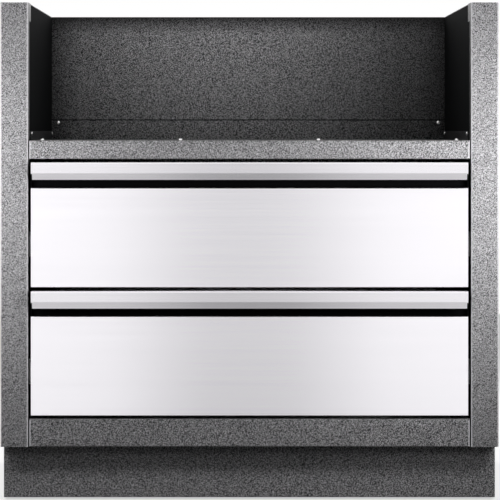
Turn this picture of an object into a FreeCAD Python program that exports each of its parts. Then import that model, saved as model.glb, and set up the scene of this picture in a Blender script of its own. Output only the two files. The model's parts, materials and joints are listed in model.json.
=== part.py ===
"""Two-drawer cabinet that stands under a built-in grill, folded from sheet steel.

Each piece is drawn in one frame: x runs to the right from the middle of the cabinet, y runs
back from the front faces of the posts and z runs up from the floor. All pieces are then moved
along y together, so that the origin is under the middle of the whole cabinet.
"""
import FreeCAD, Part
import Sketcher
import math
import os

SIZES = [
    ("cabinet_width", 914.0, "over the outer faces of the two posts"),
    ("body_height", 815.0, "posts, from the toe space to the top"),
    ("body_depth", 610.0, "front of the posts to the back of the rear panel"),
    ("sheet", 1.2, "steel of the carcass"),
    ("bend_radius", 1.5, "inside of a bend in the carcass steel"),
    ("fit_gap", 0.5, "left between edges that butt"),
    ("post_width", 51.0, "front face of a post"),
    ("post_return", 26.0, "sides of a post, front to back"),
    ("post_tab_height", 33.0, "tab at the top of a post, down its liner"),
    ("post_tab_depth", 60.0, "back edge of that tab, from the front"),
    ("post_screw_inset", 7.0, "post screws from the ends of the post"),
    ("bay_depth", 253.0, "top of the posts down to the grill deck"),
    ("top_rail_height", 34.0, "front face of the upper rail"),
    ("bottom_rail_height", 51.0, "front face of the lower rail"),
    ("rail_return", 24.0, "edges of the rails, front to back"),
    ("rail_gap", 2.0, "between the ends of a rail and the posts"),
    ("rear_flange", 20.0, "back edge of a side panel, turned in"),
    ("liner_flange", 26.0, "back edge of a liner, turned in below the rear upstand's top"),
    ("liner_foot", 20.0, "bottom edge of a liner, turned out"),
    ("rear_upstand", 41.0, "back edge of the grill deck, turned up"),
    ("side_upstand", 17.0, "side edges of the grill deck, turned up"),
    ("side_upstand_start", 60.0, "front end of those edges, from the front"),
    ("tongue_inset", 8.0, "tongues of deck and floor, in from the posts"),
    ("tongue_start", 6.0, "front edge of the deck's tongue, from the front"),
    ("deck_screw_margin", 25.0, "end screws of the deck, in from the posts"),
    ("deck_screw_inset", 12.0, "those screws from the front"),
    ("upstand_screw_rise", 34.0, "screws in the rear upstand, above the deck"),
    ("side_screw_rise", 12.0, "screws in the side upstands, above the deck"),
    ("side_screw_inset", 18.0, "those screws from the ends of the upstands"),
    ("hose_slot_length", 90.0, "cut-out in the deck, left to right"),
    ("hose_slot_depth", 45.0, "cut-out in the deck, front to back"),
    ("hose_slot_margin", 30.0, "cut-out from the rear upstand"),
    ("hose_slot_x", 250.0, "middle of the cut-out, right of centre"),
    ("hose_slot_corner", 8.0, "corner radius of the cut-out"),
    ("hose_port_x", 250.0, "port in the rear panel, right of centre"),
    ("hose_port_rise", 150.0, "port above the bottom of the body"),
    ("hose_port_radius", 22.0, "bore of the rubber grommet"),
    ("grommet_neck", 4.0, "wall of the grommet in the rear panel"),
    ("grommet_lip", 5.0, "lips of the grommet beyond that wall"),
    ("grommet_lip_depth", 2.0, "thickness of those lips"),
    ("grommet_gap", 0.3, "round the grommet in its hole"),
    ("vent_length", 80.0, "cooling slots in the rear panel"),
    ("vent_height", 8.0, "height of a slot"),
    ("vent_pitch_x", 110.0, "between slots in a row"),
    ("vent_pitch_z", 22.0, "between rows"),
    ("vent_rise", 330.0, "lowest row above the bottom of the body"),
    ("floor_flange", 20.0, "edges of the floor, turned up"),
    ("gang_hole_radius", 4.5, "holes in the side panels for joining cabinets"),
    ("gang_pitch_y", 400.0, "between those holes, front to back"),
    ("gang_pitch_z", 560.0, "between those holes, up"),
    ("gang_front", 110.0, "front holes from the front"),
    ("gang_rise", 110.0, "lower holes above the bottom of the body"),
    ("rear_screw_margin", 40.0, "rear panel screws from its ends"),
    ("plinth_height", 101.0, "base under the body"),
    ("foot_clearance", 4.0, "base above the floor"),
    ("kick_setback", 60.0, "toe space, front to back"),
    ("plinth_flange", 25.0, "edges of the base, turned in"),
    ("plinth_edge", 0.6, "rounding of the base's lower front edge"),
    ("foot_end_gap", 20.0, "pads from the turned edges of the base, front and back"),
    ("foot_side_gap", 5.0, "pads from the turned edges of the base, left and right"),
    ("foot_pad_radius", 19.0, "pad of a foot"),
    ("foot_pad_height", 5.0, "straight rim of the pad"),
    ("foot_cone_height", 7.0, "taper above the rim"),
    ("foot_hex_width", 17.0, "across the flats of the spanner hexagon"),
    ("foot_hex_height", 10.0, "that hexagon, up to the bracket"),
    ("foot_stud_radius", 5.0, "stud that runs in the nut"),
    ("foot_stud_length", 48.0, "stud above the hexagon"),
    ("stud_gap", 0.15, "round the stud in its nut"),
    ("nut_height", 8.0, "nut on a bracket"),
    ("bracket_sheet", 3.0, "steel of the brackets"),
    ("bracket_length", 70.0, "bracket, front to back"),
    ("bracket_rise", 40.0, "wall of a bracket, up the base"),
    ("bracket_margin", 28.0, "bracket beyond its foot, towards the middle"),
    ("drawer_gap", 6.0, "above, between and below the drawers"),
    ("drawer_side_gap", 4.5, "beside a drawer front"),
    ("pull_inset", 2.0, "ends of a pull, in from the ends of its drawer front"),
    ("pull_band", 20.0, "upright band of a pull"),
    ("pull_lip", 13.0, "slanted lip below the band"),
    ("lip_angle", 20.0, "slant of the lip, in degrees"),
    ("lip_inset", 2.0, "ends of the lip, in from the ends of the band"),
    ("pull_reach", 18.0, "band in front of the posts"),
    ("pull_sheet", 1.5, "steel of a pull"),
    ("pull_bend", 1.5, "inside of a bend in a pull"),
    ("lip_edge", 0.65, "rounding of the free edge of a lip"),
    ("finger_gap", 15.0, "between the lip and the drawer front below it"),
    ("channel_front", 2.0, "front edge of the finger channel, from the front"),
    ("channel_cove", 6.0, "rounding along the bottom of the finger channel"),
    ("skin", 1.0, "steel of a drawer front"),
    ("skin_bend", 1.0, "inside of a bend in a drawer front"),
    ("front_depth", 20.0, "edges of a drawer front, front to back"),
    ("inner_inset", 2.0, "inner front, in from the edges of the front"),
    ("box_sheet", 1.0, "steel of a drawer box"),
    ("box_headroom", 26.5, "top of a drawer box below the top of its front"),
    ("box_length", 505.0, "sides of a drawer box, front to back"),
    ("box_lift", 8.0, "box above the bottom edge of the front"),
    ("box_hem", 10.0, "top edges of the box, turned in"),
    ("box_ledge", 14.0, "bottom edges of the box sides, turned in"),
    ("box_tab", 16.0, "front edges of the box sides, turned in"),
    ("front_screw_rise", 30.0, "lower drawer front screws above the bottom of the box"),
    ("front_screw_drop", 9.5, "upper drawer front screws below the finger channel"),
    ("runner_length", 500.0, "each member of a runner"),
    ("runner_height", 45.0, "cabinet member of a runner"),
    ("runner_width", 12.7, "runner, from liner to drawer box"),
    ("runner_sheet", 1.2, "steel of the runners"),
    ("runner_start", 30.0, "front end of a closed runner, from the front"),
    ("runner_rise", 70.0, "middle of a runner above the bottom of the box"),
    ("runner_lip", 9.5, "edges of the cabinet member, from the liner"),
    ("cage_sheet", 0.6, "steel of a ball cage"),
    ("cage_gap", 0.3, "between a cage and the members beside it"),
    ("cage_length", 220.0, "ball cage, front to back"),
    ("cage_lip", 7.0, "edges of a cage that hold the balls"),
    ("ball_diameter", 3.6, "steel balls"),
    ("ball_gap", 0.05, "between a ball and its track"),
    ("ball_pocket_gap", 0.1, "round a ball in its cage"),
    ("ball_pitch", 48.0, "between the balls of a row"),
    ("rivet_radius", 2.4, "runner rivets"),
    ("rivet_head_radius", 4.5, "heads of those rivets"),
    ("rivet_head_height", 1.6, "height of those heads"),
    ("rivet_margin", 40.0, "end rivets from the ends of a runner"),
    ("screw_radius", 2.0, "shanks of the screws"),
    ("screw_gap", 0.2, "round a screw or rivet in its hole"),
    ("head_radius", 4.0, "heads of the screws"),
    ("head_height", 2.2, "height of those heads"),
    ("head_rim", 1.1, "straight rim of a head, below its taper"),
    ("head_taper", 1.4, "top of a head, in from its rim"),
    ("drive_width", 2.4, "square drive in a head"),
    ("drive_depth", 1.2, "depth of that drive"),
    ("screw_reach", 6.0, "screws beyond the sheets that they hold"),
]

BALLS_PER_ROW = 5
RIVETS_PER_RUNNER = 3
REAR_SCREWS_PER_SIDE = 5
DECK_SCREWS = 4
VENT_ROWS = 4
VENTS_PER_ROW = 4
SIDES = (("left", -1), ("right", 1))


class Size:
    """A number with the formula that gives it from the cells of the sheet."""

    def __init__(self, formula, value):
        self.formula = formula
        self.value = value

    def __add__(self, other):
        other = as_size(other)
        return Size(f"({self.formula} + {other.formula})", self.value + other.value)

    def __sub__(self, other):
        other = as_size(other)
        return Size(f"({self.formula} - {other.formula})", self.value - other.value)

    def __mul__(self, other):
        other = as_size(other)
        return Size(f"({self.formula} * {other.formula})", self.value * other.value)

    def __truediv__(self, other):
        other = as_size(other)
        return Size(f"({self.formula} / {other.formula})", self.value / other.value)

    def __rmul__(self, other):
        return self * other

    def __neg__(self):
        return self * -1


def as_size(term):
    if isinstance(term, Size):
        return term
    return Size(f"({float(term)})", float(term))


def sine(angle):
    return Size(f"sin({angle.formula} * 1 deg)", math.sin(math.radians(angle.value)))


def cosine(angle):
    return Size(f"cos({angle.formula} * 1 deg)", math.cos(math.radians(angle.value)))


doc = FreeCAD.newDocument("under_grill_cabinet")
sheet_of_sizes = doc.addObject("Spreadsheet::Sheet", "dims")


class Cells:
    """The driving sizes, one attribute for each alias of the sheet."""


def fill_sheet():
    cells = Cells()
    for row, (name, value, meaning) in enumerate(SIZES, start=1):
        sheet_of_sizes.set(f"A{row}", name)
        sheet_of_sizes.set(f"B{row}", str(value))
        sheet_of_sizes.set(f"C{row}", meaning)
        sheet_of_sizes.setAlias(f"B{row}", name)
        setattr(cells, name, Size(f"dims.{name}", value))
    doc.recompute()
    return cells


d = fill_sheet()
pieces = []

# Places that several pieces share, left and right of the middle.
half_width = d.cabinet_width / 2
post_inner = half_width - d.post_width
liner_face = post_inner + d.sheet
liner_back = liner_face + d.sheet
side_outer = half_width - d.sheet
side_inner = side_outer - d.sheet
face_half = post_inner - d.drawer_side_gap
box_half = liner_face - d.runner_width
tongue_half = post_inner - d.tongue_inset
foot_x = side_outer - d.plinth_flange - d.foot_side_gap - d.foot_pad_radius

# Places that several pieces share, front to back.
front_y = (d.pull_reach - d.body_depth - d.head_height) / 2
back_front = d.body_depth - d.sheet
flange_front = back_front - d.sheet
behind_bend = d.sheet + d.bend_radius + d.fit_gap
behind_post = d.post_return + d.fit_gap
box_front = d.front_depth + d.box_sheet
box_back = box_front + d.box_length

# Places that several pieces share, up from the floor.
body_bottom = d.foot_clearance + d.plinth_height
body_top = body_bottom + d.body_height
deck_top = body_top - d.bay_depth
deck_under = deck_top - d.sheet
top_rail_bottom = deck_top - d.top_rail_height
bottom_rail_top = body_bottom + d.bottom_rail_height
drawer_height = (top_rail_bottom - bottom_rail_top - d.drawer_gap * 3) / 2
lower_level = bottom_rail_top + d.drawer_gap
upper_level = lower_level + drawer_height + d.drawer_gap
bracket_level = d.foot_pad_height + d.foot_cone_height + d.foot_hex_height

# Heights within a drawer, up from the bottom edge of its front.
lip_drop = d.pull_lip * cosine(d.lip_angle)
lip_setback = d.pull_lip * sine(d.lip_angle)
panel_height = drawer_height - d.pull_band - lip_drop - d.finger_gap
pull_under = drawer_height - d.pull_sheet
box_top = drawer_height - d.box_headroom
runner_axis = d.box_lift + d.runner_rise

# Rows of fasteners: the first place and the step to the next.
hole_radius = d.screw_radius + d.screw_gap
deck_screw_first = d.deck_screw_margin - post_inner
deck_screw_pitch = (post_inner - d.deck_screw_margin) * 2 / (DECK_SCREWS - 1)
rear_screw_x = side_outer - d.rear_flange / 2
rear_screw_first = body_bottom + d.rear_screw_margin
rear_screw_pitch = (d.body_height - d.rear_screw_margin * 2) / (REAR_SCREWS_PER_SIDE - 1)
rivet_hole_radius = d.rivet_radius + d.screw_gap
rivet_first = d.runner_start + d.rivet_margin
rivet_pitch = (d.runner_length - d.rivet_margin * 2) / (RIVETS_PER_RUNNER - 1)


def in_row(first, step, count):
    return [first + step * number for number in range(count)]


def bind(thing, **sizes):
    for name, size in sizes.items():
        thing.setExpression(name, as_size(size).formula)


def place(thing, x, y, z):
    for axis, size in zip("xyz", (x, y, z)):
        thing.setExpression(f"Placement.Base.{axis}", as_size(size).formula)


def new_body(label, level=0.0):
    """A sub-part, with its own heights counted from the level."""
    body = doc.addObject("PartDesign::Body", label)
    body.Label = label
    body.AllowCompound = True
    place(body, 0, front_y, level)
    pieces.append(body)
    return body


def spread(side, low, high):
    """A run off the middle of the cabinet, on the left (-1) or the right (1)."""
    if side > 0:
        return (low, high)
    return (-high, -low)


def both(half):
    return (-half, half)


def block(body, x, y, z, kind="Additive"):
    """Adds or takes away a block that fills the three runs."""
    added = body.newObject(f"PartDesign::{kind}Box", f"{body.Name}_block")
    lengths = [as_size(high) - low for low, high in (x, y, z)]
    bind(added, Length=lengths[0], Width=lengths[1], Height=lengths[2])
    place(added, x[0], y[0], z[0])
    return added


def clear(body, x, y, z):
    return block(body, x, y, z, kind="Subtractive")


TURN_FROM_Z = {
    "x": FreeCAD.Rotation(FreeCAD.Vector(0, 1, 0), 90),
    "-x": FreeCAD.Rotation(FreeCAD.Vector(0, 1, 0), -90),
    "y": FreeCAD.Rotation(FreeCAD.Vector(1, 0, 0), -90),
    "-y": FreeCAD.Rotation(FreeCAD.Vector(1, 0, 0), 90),
    "z": FreeCAD.Rotation(),
}


def disc(body, start, axis, radius, length, kind="Additive"):
    """Adds or takes away a cylinder from the start along the axis."""
    added = body.newObject(f"PartDesign::{kind}Cylinder", f"{body.Name}_disc")
    added.Placement = FreeCAD.Placement(FreeCAD.Vector(), TURN_FROM_Z[axis])
    bind(added, Radius=radius, Height=length)
    place(added, *start)
    return added


def drill(body, start, axis, radius, length):
    """A hole from one sheet's thickness before the start to one past the length."""
    before = {"x": (-1, 0, 0), "y": (0, -1, 0), "z": (0, 0, -1)}[axis]
    moved = [as_size(at) + d.sheet * step for at, step in zip(start, before)]
    return disc(body, moved, axis, radius, length + d.sheet * 2, kind="Subtractive")


EVEN_STEP = -1.0  # a step of a row that takes the row's own spacing


def repeat(body, feature, *rows):
    """Repeats a feature in one or two straight rows, each given as (axis, count, step)."""
    pattern = body.newObject("PartDesign::LinearPattern", f"{body.Name}_rows")
    pattern.Originals = [feature]
    for suffix, (axis, count, step) in zip(("", "2"), rows):
        role = f"{axis.upper()}_Axis"
        line = [part for part in body.Origin.OriginFeatures if part.Role == role][0]
        setattr(pattern, f"Direction{suffix}", (line, [""]))
        setattr(pattern, f"Mode{suffix}", "Spacing")
        setattr(pattern, f"Occurrences{suffix}", count)
        setattr(pattern, f"Spacings{suffix}", [EVEN_STEP] * (count - 1))
        bind(pattern, **{f"Offset{suffix}": step})
    body.Tip = pattern
    return pattern


def hexagon(body, x, y, level, flats, height):
    prism = body.newObject("PartDesign::AdditivePrism", f"{body.Name}_hexagon")
    prism.Polygon = 6
    bind(prism, Circumradius=flats / math.sqrt(3), Height=height)
    place(prism, x, y, level)
    return prism


def section(body, plane, corners, start, length):
    """Pads a closed outline of straight lines, from the start along the plane's normal."""
    sketch = body.newObject("Sketcher::SketchObject", f"{body.Name}_outline")
    base = [part for part in body.Origin.OriginFeatures if part.Role == plane][0]
    sketch.AttachmentSupport = [(base, "")]
    sketch.MapMode = "FlatFace"
    sketch.setExpression("AttachmentOffset.Base.z", as_size(start).formula)
    corners = [(as_size(x), as_size(y)) for x, y in corners]
    points = [FreeCAD.Vector(x.value, y.value, 0) for x, y in corners]
    count = len(corners)
    for index in range(count):
        line = Part.LineSegment(points[index], points[(index + 1) % count])
        sketch.addGeometry(line, False)
    for index in range(count):
        following = (index + 1) % count
        sketch.addConstraint(Sketcher.Constraint("Coincident", index, 2, following, 1))
    for index, corner in enumerate(corners):
        for kind, size in zip(("DistanceX", "DistanceY"), corner):
            number = sketch.addConstraint(Sketcher.Constraint(kind, -1, 1, index, 1, size.value))
            sketch.setExpression(f"Constraints[{number}]", size.formula)
    pad = body.newObject("PartDesign::Pad", f"{body.Name}_pad")
    pad.Profile = sketch
    bind(pad, Length=length)
    return pad


NEAR = 1e-4


def is_at(edge, along, places):
    """True for a straight edge that runs along the axis at the given places."""
    if not isinstance(edge.Curve, Part.Line):
        return False
    if abs(abs(getattr(edge.Curve.Direction, along)) - 1) > NEAR:
        return False
    middle = edge.CenterOfMass
    return all(abs(getattr(middle, axis) - as_size(at).value) < NEAR for axis, at in places.items())


def soften(body, radius, edges):
    """Rounds the edges given as (axis, {axis: place}) with one radius."""
    doc.recompute()
    tip = body.Tip
    names = []
    for along, places in edges:
        found = [
            f"Edge{number}"
            for number, edge in enumerate(tip.Shape.Edges, start=1)
            if is_at(edge, along, places)
        ]
        if not found:
            raise RuntimeError(f"{body.Label}: no edge along {along} at the place to round")
        names.extend(found)
    fillet = body.newObject("PartDesign::Fillet", f"{body.Name}_bend")
    fillet.Base = (tip, names)
    bind(fillet, Radius=radius)
    return fillet


def soften_front(body, radius, half, bottom, top, front=0.0):
    """Rounds the four edges round a front face."""
    edges = [("z", {"x": side * half, "y": front}) for _, side in SIDES]
    edges += [("x", {"y": front, "z": level}) for level in (bottom, top)]
    soften(body, radius, edges)


def tray(body, x, y, z, wall):
    """A pan with its face at the front, open at the back."""
    block(body, x, y, z)
    inside = [(low + wall, high - wall) for low, high in (x, z)]
    clear(body, inside[0], (y[0] + wall, y[1] + wall), inside[1])


def post(label, side):
    body = new_body(label)
    outline = [
        (half_width, 0),
        (post_inner, 0),
        (post_inner, d.post_return),
        (liner_face, d.post_return),
        (liner_face, d.sheet),
        (side_outer, d.sheet),
        (side_outer, d.post_return),
        (half_width, d.post_return),
    ]
    corners = [(side * x, y) for x, y in outline]
    section(body, "XY_Plane", corners, body_bottom, d.body_height)
    outer_corners = [("z", {"x": side * x, "y": 0}) for x in (half_width, post_inner)]
    soften(body, d.bend_radius + d.sheet, outer_corners)
    inner_corners = [("z", {"x": side * x, "y": d.sheet}) for x in (side_outer, liner_face)]
    soften(body, d.bend_radius, inner_corners)
    cap = (body_top - d.sheet, body_top)
    block(body, spread(side, liner_face, side_outer), (d.sheet, d.post_return), cap)
    tab = (body_top - d.post_tab_height, body_top)
    block(body, spread(side, post_inner, liner_face), (d.post_return, d.post_tab_depth), tab)
    for level in post_screw_levels():
        drill(body, (post_middle(side), 0, level), "y", hole_radius, d.sheet)


def post_middle(side):
    return side * (half_width - d.post_width / 2)


def post_screw_levels():
    return (body_bottom + d.post_screw_inset, body_top - d.post_screw_inset)


def side_panel(label, side):
    """Outer wall: lapped by the post, turned in at the back and over the top."""
    body = new_body(label)
    wall = spread(side, side_inner, side_outer)
    block(body, wall, (d.post_return, back_front), (body_bottom, body_top))
    lap_top = body_top - d.sheet * 2
    block(body, wall, (behind_bend, d.post_return + d.sheet), (body_bottom, lap_top))
    back = spread(side, side_outer - d.rear_flange, side_outer)
    block(body, back, (flange_front, back_front), (body_bottom, body_top))
    cover = spread(side, liner_face, side_outer)
    block(body, cover, (behind_post, back_front), (body_top - d.sheet, body_top))
    top_edge = ("y", {"x": side * side_outer, "z": body_top})
    soften(body, d.bend_radius + d.sheet, [top_edge])
    first = (wall[0], d.gang_front, body_bottom + d.gang_rise)
    hole = drill(body, first, "x", d.gang_hole_radius, d.sheet)
    repeat(body, hole, ("y", 2, d.gang_pitch_y), ("z", 2, d.gang_pitch_z))
    hole = drill(body, (side * rear_screw_x, flange_front, rear_screw_first), "y", hole_radius, d.sheet)
    repeat(body, hole, ("z", REAR_SCREWS_PER_SIDE, rear_screw_pitch))


def liner(label, side):
    """Inner wall: it lines the grill bay and carries the runners below."""
    body = new_body(label)
    levels = (body_bottom + d.sheet, body_top - d.sheet)
    wall = spread(side, liner_face, liner_back)
    block(body, wall, (behind_bend, back_front), levels)
    back = spread(side, liner_face - d.liner_flange, liner_back)
    block(body, back, (flange_front, back_front), (levels[0], deck_top + d.rear_upstand))
    foot = spread(side, liner_face, liner_back + d.liner_foot)
    block(body, foot, (behind_post, flange_front), (levels[0], levels[0] + d.sheet))
    first = (wall[0], rivet_first, lower_level + runner_axis)
    hole = drill(body, first, "x", rivet_hole_radius, d.sheet)
    rows = ("y", RIVETS_PER_RUNNER, rivet_pitch), ("z", 2, upper_level - lower_level)
    repeat(body, hole, *rows)
    upstand_hole = (upstand_screw_x(side), flange_front, deck_top + d.upstand_screw_rise)
    drill(body, upstand_hole, "y", hole_radius, d.sheet)
    for y in side_screw_places():
        drill(body, (wall[0], y, deck_top + d.side_screw_rise), "x", hole_radius, d.sheet)


def upstand_screw_x(side):
    return side * (liner_face - d.liner_flange / 2)


def side_screw_places():
    return (d.side_upstand_start + d.side_screw_inset, flange_front - d.side_screw_inset)


def rear_panel():
    body = new_body("rear_panel")
    through = (back_front, d.body_depth)
    block(body, both(side_outer), through, (body_bottom, body_top))
    port = (d.hose_port_x, back_front, body_bottom + d.hose_port_rise)
    neck = d.hose_port_radius + d.grommet_neck + d.grommet_gap
    drill(body, port, "y", neck, d.sheet)
    hole = drill(body, (-rear_screw_x, back_front, rear_screw_first), "y", hole_radius, d.sheet)
    rows = ("x", 2, rear_screw_x * 2), ("z", REAR_SCREWS_PER_SIDE, rear_screw_pitch)
    repeat(body, hole, *rows)
    left = -(d.vent_pitch_x * (VENTS_PER_ROW - 1) + d.vent_length) / 2
    level = body_bottom + d.vent_rise
    cut = (back_front - d.sheet, d.body_depth + d.sheet)
    slot = clear(body, (left, left + d.vent_length), cut, (level, level + d.vent_height))
    repeat(body, slot, ("x", VENTS_PER_ROW, d.vent_pitch_x), ("z", VENT_ROWS, d.vent_pitch_z))


def hose_grommet():
    """Rubber ring in the rear panel's port, with a lip on each face of the panel."""
    body = new_body("hose_grommet")
    level = body_bottom + d.hose_port_rise
    neck = d.hose_port_radius + d.grommet_neck
    lip = neck + d.grommet_lip
    inside = back_front - d.grommet_lip_depth
    disc(body, (d.hose_port_x, inside, level), "y", lip, d.grommet_lip_depth)
    disc(body, (d.hose_port_x, back_front, level), "y", neck, d.sheet)
    disc(body, (d.hose_port_x, d.body_depth, level), "y", lip, d.grommet_lip_depth)
    whole = d.grommet_lip_depth * 2 + d.sheet
    drill(body, (d.hose_port_x, inside, level), "y", d.hose_port_radius, whole)


def rail(label, bottom, top):
    """A pan between the posts: a front face with all four edges turned back."""
    body = new_body(label)
    half = post_inner - d.rail_gap
    tray(body, both(half), (as_size(0), d.rail_return), (bottom, top), d.sheet)
    soften_front(body, d.bend_radius + d.sheet, half, bottom, top)
    return body


def top_rail():
    body = rail("top_rail", top_rail_bottom, deck_top)
    deck_screw_holes(body, deck_under)


def deck_screw_holes(body, level):
    hole = drill(body, (deck_screw_first, d.deck_screw_inset, level), "z", hole_radius, d.sheet)
    repeat(body, hole, ("x", DECK_SCREWS, deck_screw_pitch))


def grill_deck():
    """Shelf for the grill head: its front tongue lies under the upper rail's top edge."""
    body = new_body("grill_deck")
    front = d.rail_return + d.fit_gap
    block(body, both(liner_face), (front, flange_front), (deck_under, deck_top))
    tongue = (deck_under - d.sheet, deck_under)
    block(body, both(tongue_half), (d.tongue_start, front + d.sheet), tongue)
    rear = (flange_front - d.sheet, flange_front)
    block(body, both(liner_face), rear, (deck_under, deck_top + d.rear_upstand))
    for _, side in SIDES:
        wall = spread(side, liner_face - d.sheet, liner_face)
        run = (d.side_upstand_start, flange_front)
        block(body, wall, run, (deck_under, deck_top + d.side_upstand))
        corner = spread(side, post_inner - d.fit_gap, half_width)
        clear(body, corner, (0, behind_post), (deck_under - d.sheet, deck_top + d.sheet))
    soften(body, d.bend_radius + d.sheet, [("x", {"y": flange_front, "z": deck_under})])
    slot_back = rear[0] - d.hose_slot_margin
    slot_x = (d.hose_slot_x - d.hose_slot_length / 2, d.hose_slot_x + d.hose_slot_length / 2)
    slot_y = (slot_back - d.hose_slot_depth, slot_back)
    clear(body, slot_x, slot_y, (deck_under - d.sheet, deck_top + d.sheet))
    soften(body, d.hose_slot_corner, [("z", {"x": x, "y": y}) for x in slot_x for y in slot_y])
    deck_screw_holes(body, tongue[0])
    for _, side in SIDES:
        upstand_hole = (upstand_screw_x(side), rear[0], deck_top + d.upstand_screw_rise)
        drill(body, upstand_hole, "y", hole_radius, d.sheet)
        wall = spread(side, liner_face - d.sheet, liner_face)
        for y in side_screw_places():
            drill(body, (wall[0], y, deck_top + d.side_screw_rise), "x", hole_radius, d.sheet)


def cabinet_floor():
    body = new_body("cabinet_floor")
    plate = (body_bottom, body_bottom + d.sheet)
    edge = (body_bottom, body_bottom + d.floor_flange)
    block(body, both(side_inner), (behind_post, flange_front), plate)
    block(body, both(tongue_half), (d.rail_return, d.rail_return + behind_post), plate)
    block(body, both(tongue_half), (d.rail_return, d.rail_return + d.sheet), edge)
    rear_half = liner_face - d.liner_flange
    block(body, both(rear_half), (flange_front - d.sheet, flange_front), edge)
    for _, side in SIDES:
        wall = spread(side, side_inner - d.sheet, side_inner)
        block(body, wall, (behind_post, flange_front), edge)


def cross_plinth(label, face, flange):
    """Front or back board of the base, with its top and bottom edges turned in."""
    body = new_body(label)
    levels = (d.foot_clearance, body_bottom)
    block(body, both(side_outer), face, levels)
    half = side_outer - d.plinth_flange - d.fit_gap
    block(body, both(half), flange, (levels[0], levels[0] + d.sheet))
    block(body, both(half), flange, (levels[1] - d.sheet, levels[1]))
    return body


def kick_panel():
    face = (d.kick_setback, d.kick_setback + d.sheet)
    body = cross_plinth("kick_panel", face, (d.kick_setback, d.kick_setback + d.plinth_flange))
    lower_edge = ("x", {"y": d.kick_setback, "z": d.foot_clearance})
    soften(body, d.plinth_edge, [lower_edge])


def rear_plinth():
    cross_plinth("rear_plinth", (back_front, d.body_depth), (d.body_depth - d.plinth_flange, d.body_depth))


def side_plinth(label, side):
    body = new_body(label)
    run = (d.kick_setback + d.sheet, back_front)
    levels = (d.foot_clearance, body_bottom)
    block(body, spread(side, side_inner, side_outer), run, levels)
    flange = spread(side, side_outer - d.plinth_flange, side_outer)
    block(body, flange, run, (levels[0], levels[0] + d.sheet))
    block(body, flange, run, (levels[1] - d.sheet, levels[1]))


FOOT_ENDS = ("front", "rear")


def foot_y(end):
    inset = d.plinth_flange + d.foot_end_gap + d.foot_pad_radius
    if end == "front":
        return d.kick_setback + inset
    return d.body_depth - inset


def leveller_brackets():
    body = new_body("leveller_brackets")
    for _, side in SIDES:
        for end in FOOT_ENDS:
            y = foot_y(end)
            run = (y - d.bracket_length / 2, y + d.bracket_length / 2)
            plate = spread(side, foot_x - d.bracket_margin, side_inner)
            block(body, plate, run, (bracket_level, bracket_level + d.bracket_sheet))
            wall = spread(side, side_inner - d.bracket_sheet, side_inner)
            block(body, wall, run, (bracket_level, bracket_level + d.bracket_rise))
            hole = d.foot_stud_radius + d.stud_gap
            drill(body, (side * foot_x, y, bracket_level), "z", hole, d.bracket_sheet)


def leveller_nuts():
    body = new_body("leveller_nuts")
    seat = bracket_level + d.bracket_sheet
    for _, side in SIDES:
        for end in FOOT_ENDS:
            y = foot_y(end)
            hexagon(body, side * foot_x, y, seat, d.foot_hex_width, d.nut_height)
            hole = d.foot_stud_radius + d.stud_gap
            drill(body, (side * foot_x, y, seat), "z", hole, d.nut_height)


def foot(label, side, end):
    """Levelling foot: pad, spanner hexagon and stud in one piece."""
    body = new_body(label)
    at = (side * foot_x, foot_y(end))
    disc(body, (*at, 0), "z", d.foot_pad_radius, d.foot_pad_height)
    cone = body.newObject("PartDesign::AdditiveCone", f"{body.Name}_taper")
    bind(cone, Radius1=d.foot_pad_radius, Radius2=d.foot_hex_width / 2, Height=d.foot_cone_height)
    place(cone, *at, d.foot_pad_height)
    hexagon(body, *at, bracket_level - d.foot_hex_height, d.foot_hex_width, d.foot_hex_height)
    disc(body, (*at, bracket_level), "z", d.foot_stud_radius, d.foot_stud_length)


def drawer_front(name, level):
    """Stainless pan below the pull."""
    body = new_body(f"{name}_drawer_front", level)
    run = (as_size(0), d.front_depth)
    tray(body, both(face_half), run, (as_size(0), panel_height), d.skin)
    soften_front(body, d.skin_bend + d.skin, face_half, as_size(0), panel_height)


def drawer_pull(name, level):
    """Stainless strip folded along its length: top, upright band and slanted lip."""
    body = new_body(f"{name}_drawer_pull", level)
    wall = d.pull_sheet
    lean = (as_size(1) - cosine(d.lip_angle)) / sine(d.lip_angle)
    band_y = -d.pull_reach
    band_bottom = drawer_height - d.pull_band
    lip_tip = (band_y + lip_setback, band_bottom - lip_drop)
    lip_back = (lip_tip[0] + wall * cosine(d.lip_angle), lip_tip[1] + wall * sine(d.lip_angle))
    fold = (band_y + wall, band_bottom + wall * lean)
    outline = [
        (d.front_depth, drawer_height),
        (band_y, drawer_height),
        (band_y, band_bottom),
        lip_tip,
        lip_back,
        fold,
        (band_y + wall, pull_under),
        (d.front_depth, pull_under),
    ]
    half = face_half - d.pull_inset
    section(body, "YZ_Plane", outline, -half, half * 2)
    outer = [{"y": band_y, "z": drawer_height}, {"y": band_y, "z": band_bottom}]
    soften(body, d.pull_bend + wall, [("x", at) for at in outer])
    inner = [{"y": band_y + wall, "z": pull_under}, {"y": fold[0], "z": fold[1]}]
    soften(body, d.pull_bend, [("x", at) for at in inner])
    tip_edges = [("x", {"y": y, "z": z}) for y, z in (lip_tip, lip_back)]
    soften(body, d.lip_edge, tip_edges)
    for _, side in SIDES:
        end = spread(side, half - d.lip_inset, half + d.lip_inset)
        below = (lip_tip[1] - wall, band_bottom - wall)
        clear(body, end, (band_y - wall, lip_back[0] + wall), below)


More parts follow.
